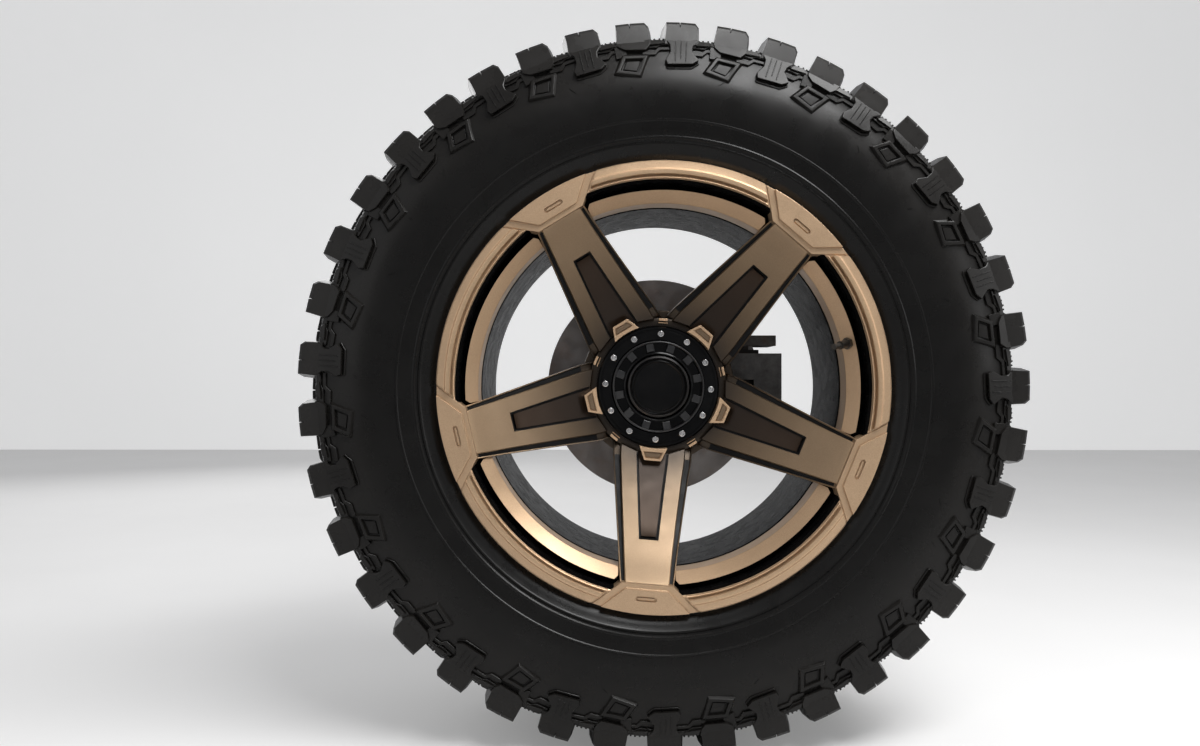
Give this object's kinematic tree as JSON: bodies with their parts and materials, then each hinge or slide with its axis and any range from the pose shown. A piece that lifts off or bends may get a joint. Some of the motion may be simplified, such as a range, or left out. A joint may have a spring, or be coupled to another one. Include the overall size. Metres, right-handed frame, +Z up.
{
  "type": "off-road wheel end with tyre, five-spoke alloy wheel, disc brake and steering knuckle",
  "caption": "Deep-dish five-spoke off-road wheel with mud-terrain tyre on a steered, driven axle end with disc brake.",
  "frame": {"origin": "centre of the inboard mouth of the axle yoke's bore for the axle tube", "axes": "+Y inboard along the axle's axis, +X towards the rear of the vehicle, +Z up; left front corner"},
  "size_m": [0.9649, 0.4745, 0.965],
  "materials": {
    "tyre": "satin rubber",
    "barrel_black": "gloss",
    "bronze_paint": "satin",
    "cap_black": "gloss",
    "bright_steel": "polished",
    "valve_metal": "dull plated",
    "dark_steel": "zinc plated",
    "disc_iron": "turned faces",
    "forged_steel": "forged",
    "chassis_black": "satin",
    "shield_steel": "satin",
    "bracket_iron": "cast",
    "caliper_iron": "cast",
    "pad_lining": "matte",
    "joint_steel": "plated"
  },
  "bodies": {
    "axle_end": {"upper_joint": "joint_steel", "lower_joint": "joint_steel", "axle_yoke": "chassis_black"},
    "knuckle": {"knuckle": "chassis_black", "bearing_housing": "dark_steel", "bearing_bolts": "dark_steel", "dust_shield": "shield_steel", "caliper_bracket": "bracket_iron", "brake_caliper": "caliper_iron", "inner_pad": "pad_lining", "outer_pad": "pad_lining", "guide_pins": "bright_steel"},
    "wheel": {"tyre": "tyre", "rim_barrel": "barrel_black", "wheel_face": "bronze_paint", "centre_cap": "cap_black", "cap_dome": "cap_black", "cap_bolts": "bright_steel", "valve_stem": "valve_metal", "wheel_nuts": "bright_steel", "wheel_studs": "dark_steel", "hub_flange": "dark_steel", "brake_disc": "disc_iron", "stub_shaft": "forged_steel", "axle_nut": "dark_steel", "joint_cross": "forged_steel"}
  },
  "joints": [
    {"name": "steer", "type": "hinge", "parent": "axle_end", "child": "knuckle", "pos_m": [0, -0.125, 0], "axis": [0, 0.1045, 0.9945], "range_deg": [-32, 32]},
    {"name": "wheel_spin", "type": "hinge", "parent": "knuckle", "child": "wheel", "pos_m": [0, -0.259, 0], "axis": [0, 1, 0], "continuous": true}
  ]
}
